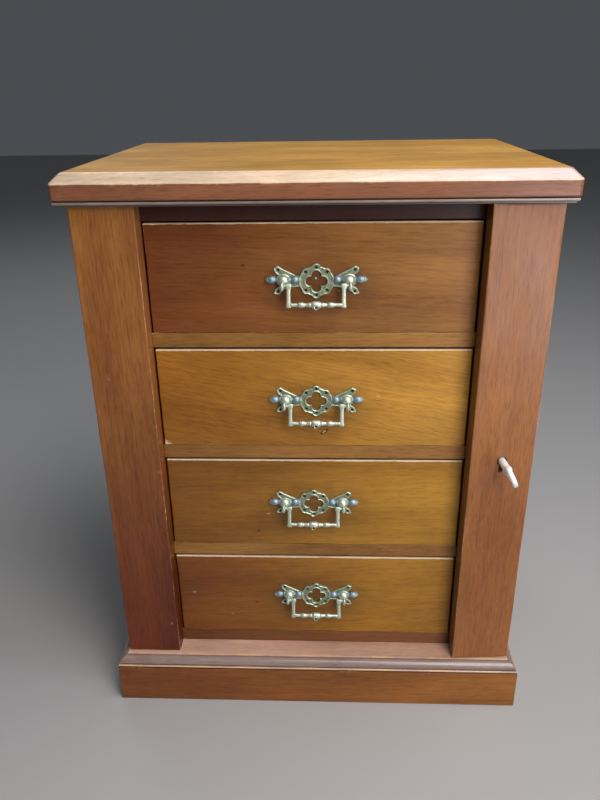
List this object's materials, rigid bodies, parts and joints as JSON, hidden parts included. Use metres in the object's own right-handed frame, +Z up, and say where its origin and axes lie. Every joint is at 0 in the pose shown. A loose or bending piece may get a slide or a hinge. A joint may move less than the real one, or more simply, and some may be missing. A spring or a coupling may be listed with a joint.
{
  "type": "jewellery chest with drawers",
  "caption": "Table-top Wellington chest: drawers with drop-bail brass pulls behind a hinged locking pilaster, moulded top and plinth.",
  "frame": {"origin": "centre of the base, where the plinth stands", "axes": "+Z up, the drawers face -Y, +X to the right of someone facing the drawers"},
  "size_m": [0.4016, 0.3155, 0.5235],
  "materials": {
    "polished_mahogany": "french polished, worn at the edges",
    "pine": "planed, unpolished",
    "drawer_lining_wood": "planed cedar",
    "antique_brass": "cast, aged",
    "lock_brass": "satin",
    "steel": "polished nickel colour"
  },
  "bodies": {
    "carcass": {"top_slab": "polished_mahogany", "top_bead": "polished_mahogany", "frieze_rail": "polished_mahogany", "left_side": "polished_mahogany", "right_side": "polished_mahogany", "left_stile": "polished_mahogany", "right_stile": "polished_mahogany", "left_pilaster": "polished_mahogany", "divider_rails": "polished_mahogany", "bottom_rail": "polished_mahogany", "bottom_board": "pine", "drawer_runners": "pine", "drawer_guides": "pine", "back_panel": "pine", "base_moulding": "polished_mahogany", "plinth_front": "polished_mahogany", "plinth_sides": "polished_mahogany", "plinth_back": "pine", "plinth_blocks": "pine", "base_panel": "pine", "hinge_fixed_leaves": "lock_brass", "hinge_pins": "steel", "hinge_fixed_screws": "lock_brass", "strike_plate": "lock_brass"},
    "locking_pilaster": {"right_pilaster": "polished_mahogany", "hinge_moving_leaves": "lock_brass", "hinge_moving_screws": "lock_brass", "lock_case": "lock_brass", "lock_cover": "lock_brass"},
    "lock_bolt": {"lock_bolt": "lock_brass"},
    "key": {"key": "steel"},
    "drawer_1": {"drawer_1_front": "polished_mahogany", "drawer_1_sides": "drawer_lining_wood", "drawer_1_back": "drawer_lining_wood", "drawer_1_bottom": "drawer_lining_wood", "drawer_1_plate": "antique_brass", "drawer_1_posts": "antique_brass"},
    "bail_1": {"drawer_1_bail": "antique_brass"},
    "drawer_2": {"drawer_2_front": "polished_mahogany", "drawer_2_sides": "drawer_lining_wood", "drawer_2_back": "drawer_lining_wood", "drawer_2_bottom": "drawer_lining_wood", "drawer_2_plate": "antique_brass", "drawer_2_posts": "antique_brass"},
    "bail_2": {"drawer_2_bail": "antique_brass"},
    "drawer_3": {"drawer_3_front": "polished_mahogany", "drawer_3_sides": "drawer_lining_wood", "drawer_3_back": "drawer_lining_wood", "drawer_3_bottom": "drawer_lining_wood", "drawer_3_plate": "antique_brass", "drawer_3_posts": "antique_brass"},
    "bail_3": {"drawer_3_bail": "antique_brass"},
    "drawer_4": {"drawer_4_front": "polished_mahogany", "drawer_4_sides": "drawer_lining_wood", "drawer_4_back": "drawer_lining_wood", "drawer_4_bottom": "drawer_lining_wood", "drawer_4_plate": "antique_brass", "drawer_4_posts": "antique_brass"},
    "bail_4": {"drawer_4_bail": "antique_brass"}
  },
  "joints": [
    {"name": "drawer_1_slide", "type": "slide", "parent": "carcass", "child": "drawer_1", "axis": [0, -1, 0], "range_m": [0, 0.19]},
    {"name": "drawer_2_slide", "type": "slide", "parent": "carcass", "child": "drawer_2", "axis": [0, -1, 0], "range_m": [0, 0.19]},
    {"name": "drawer_3_slide", "type": "slide", "parent": "carcass", "child": "drawer_3", "axis": [0, -1, 0], "range_m": [0, 0.19]},
    {"name": "drawer_4_slide", "type": "slide", "parent": "carcass", "child": "drawer_4", "axis": [0, -1, 0], "range_m": [0, 0.19]},
    {"name": "bail_1_swing", "type": "hinge", "parent": "drawer_1", "child": "bail_1", "pos_m": [0.0024, -0.12005, 0.43185], "axis": [-1, 0, 0], "range_deg": [0, 85]},
    {"name": "bail_2_swing", "type": "hinge", "parent": "drawer_2", "child": "bail_2", "pos_m": [0.0017, -0.12005, 0.32435], "axis": [-1, 0, 0], "range_deg": [0, 85]},
    {"name": "bail_3_swing", "type": "hinge", "parent": "drawer_3", "child": "bail_3", "pos_m": [-0.0012, -0.12005, 0.21895], "axis": [-1, 0, 0], "range_deg": [0, 85]},
    {"name": "bail_4_swing", "type": "hinge", "parent": "drawer_4", "child": "bail_4", "pos_m": [0.0006, -0.12005, 0.11135], "axis": [-1, 0, 0], "range_deg": [0, 85]},
    {"name": "pilaster_hinge", "type": "hinge", "parent": "carcass", "child": "locking_pilaster", "pos_m": [0.1931, -0.1132, 0], "axis": [0, 0, 1], "range_deg": [-4, 170]},
    {"name": "key_turn", "type": "hinge", "parent": "locking_pilaster", "child": "key", "pos_m": [0.16348, -0.11542, 0.2773], "axis": [0.0698, -0.9976, 0], "range_deg": [-25, 65]},
    {"name": "bolt_throw", "type": "slide", "parent": "locking_pilaster", "child": "lock_bolt", "axis": [0, 0, 1], "range_m": [-0.00112, 0.0029]}
  ],
  "couplings": [
    {"joint": "bolt_throw", "follows": "key_turn", "m_per_rad": 0.0025465}
  ]
}
